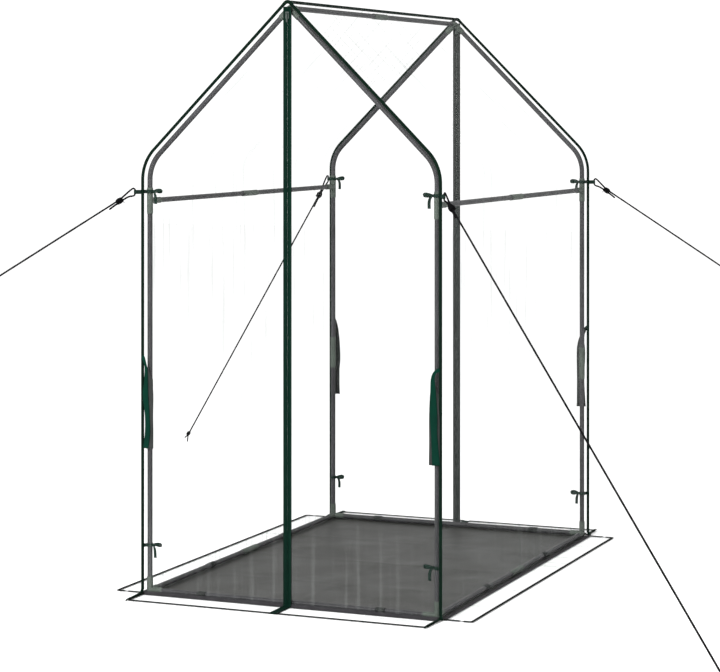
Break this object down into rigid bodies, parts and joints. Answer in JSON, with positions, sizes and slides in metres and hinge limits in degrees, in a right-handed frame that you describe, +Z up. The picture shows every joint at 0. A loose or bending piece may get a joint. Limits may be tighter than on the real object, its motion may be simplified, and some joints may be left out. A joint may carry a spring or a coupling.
{
  "type": "walk-in greenhouse",
  "caption": "Small walk-in greenhouse: slotted tube frame with a pitched roof, clear film cover, a zipped split door at each end, ground skirts and corner guy ropes.",
  "frame": {"origin": "on the ground, in the middle of the footprint", "axes": "+Z up, +Y from the front wall to the back wall along the ridge, +X to the right as seen from the front"},
  "size_m": [2.9128, 3.0468, 1.8126],
  "materials": {
    "coated_tube": "grey coating, satin",
    "fitting_plastic": "moulded grey-green plastic",
    "clear_film": "clear flexible film",
    "ground_sheet": "dark grey woven film, slight sheen",
    "piping": "dark green bound edge",
    "zip_tape": "dark green woven tape with coil teeth",
    "zip_metal": "dark enamel",
    "ribbon": "dark green ribbon",
    "webbing": "dark green strap",
    "rope": "black braided rope"
  },
  "bodies": {
    "frame": {"base_corner_front_left": "fitting_plastic", "base_corner_front_right": "fitting_plastic", "base_corner_back_left": "fitting_plastic", "base_corner_back_right": "fitting_plastic", "eave_tee_front_left": "fitting_plastic", "eave_tee_front_right": "fitting_plastic", "eave_tee_back_left": "fitting_plastic", "eave_tee_back_right": "fitting_plastic", "peak_connector_front": "fitting_plastic", "peak_connector_back": "fitting_plastic", "straight_couplers": "fitting_plastic", "base_rail_front": "coated_tube", "base_rail_back": "coated_tube", "base_rails_left": "coated_tube", "base_rails_right": "coated_tube", "eave_rails_left": "coated_tube", "eave_rails_right": "coated_tube", "lower_post_front_left": "coated_tube", "lower_post_front_right": "coated_tube", "lower_post_back_left": "coated_tube", "lower_post_back_right": "coated_tube", "upper_post_front_left": "coated_tube", "upper_post_front_right": "coated_tube", "upper_post_back_left": "coated_tube", "upper_post_back_right": "coated_tube", "rafter_front_left": "coated_tube", "rafter_front_right": "coated_tube", "rafter_back_left": "coated_tube", "rafter_back_right": "coated_tube", "ridge_tubes": "coated_tube", "cover_left": "clear_film", "cover_right": "clear_film", "gable_front": "clear_film", "gable_back": "clear_film", "skirt_corners": "clear_film", "floor_sheet": "ground_sheet", "seam_piping": "piping", "zip_top_tapes": "zip_tape", "frame_ties": "ribbon", "guy_loops": "ribbon", "tie_back_straps": "webbing", "guy_rope_front_left": "rope", "guy_rope_front_right": "rope", "guy_rope_back_left": "rope", "guy_rope_back_right": "rope", "guy_knots": "rope"},
    "door_front_left": {"door_flap_front_left": "clear_film", "zip_tape_front_left": "zip_tape"},
    "door_front_right": {"door_flap_front_right": "clear_film", "zip_tape_front_right": "zip_tape"},
    "door_back_left": {"door_flap_back_left": "clear_film", "zip_tape_back_left": "zip_tape"},
    "door_back_right": {"door_flap_back_right": "clear_film", "zip_tape_back_right": "zip_tape"},
    "slider_front": {"zip_slider_front": "zip_metal"},
    "slider_back": {"zip_slider_back": "zip_metal"},
    "pull_front": {"zip_pull_front": "zip_metal"},
    "pull_back": {"zip_pull_back": "zip_metal"},
    "ground_flap_left": {"skirt_left": "clear_film"},
    "ground_flap_right": {"skirt_right": "clear_film"}
  },
  "joints": [
    {"name": "door_front_left_fold", "type": "hinge", "parent": "frame", "child": "door_front_left", "pos_m": [-0.455, -0.7277, 0], "axis": [-0.2476, 0, -0.9689], "range_deg": [0, 120]},
    {"name": "door_front_right_fold", "type": "hinge", "parent": "frame", "child": "door_front_right", "pos_m": [0.455, -0.7277, 0], "axis": [-0.2476, 0, 0.9689], "range_deg": [0, 120]},
    {"name": "door_back_left_fold", "type": "hinge", "parent": "frame", "child": "door_back_left", "pos_m": [-0.455, 0.7277, 0], "axis": [0.2476, 0, 0.9689], "range_deg": [0, 120]},
    {"name": "door_back_right_fold", "type": "hinge", "parent": "frame", "child": "door_back_right", "pos_m": [0.455, 0.7277, 0], "axis": [0.2476, 0, -0.9689], "range_deg": [0, 120]},
    {"name": "slider_front_travel", "type": "slide", "parent": "frame", "child": "slider_front", "axis": [0, 0, -1], "range_m": [0, 1.7]},
    {"name": "slider_back_travel", "type": "slide", "parent": "frame", "child": "slider_back", "axis": [0, 0, -1], "range_m": [0, 1.7]},
    {"name": "pull_front_swing", "type": "hinge", "parent": "slider_front", "child": "pull_front", "pos_m": [0, -0.734, 1.773], "axis": [-1, 0, 0], "range_deg": [0, 170]},
    {"name": "pull_back_swing", "type": "hinge", "parent": "slider_back", "child": "pull_back", "pos_m": [0, 0.734, 1.773], "axis": [1, 0, 0], "range_deg": [0, 170]},
    {"name": "ground_flap_left_fold", "type": "hinge", "parent": "frame", "child": "ground_flap_left", "pos_m": [-0.4907, 0, 0.0005], "axis": [0, 1, 0], "range_deg": [0, 90]},
    {"name": "ground_flap_right_fold", "type": "hinge", "parent": "frame", "child": "ground_flap_right", "pos_m": [0.4907, 0, 0.0005], "axis": [0, -1, 0], "range_deg": [0, 90]}
  ]
}
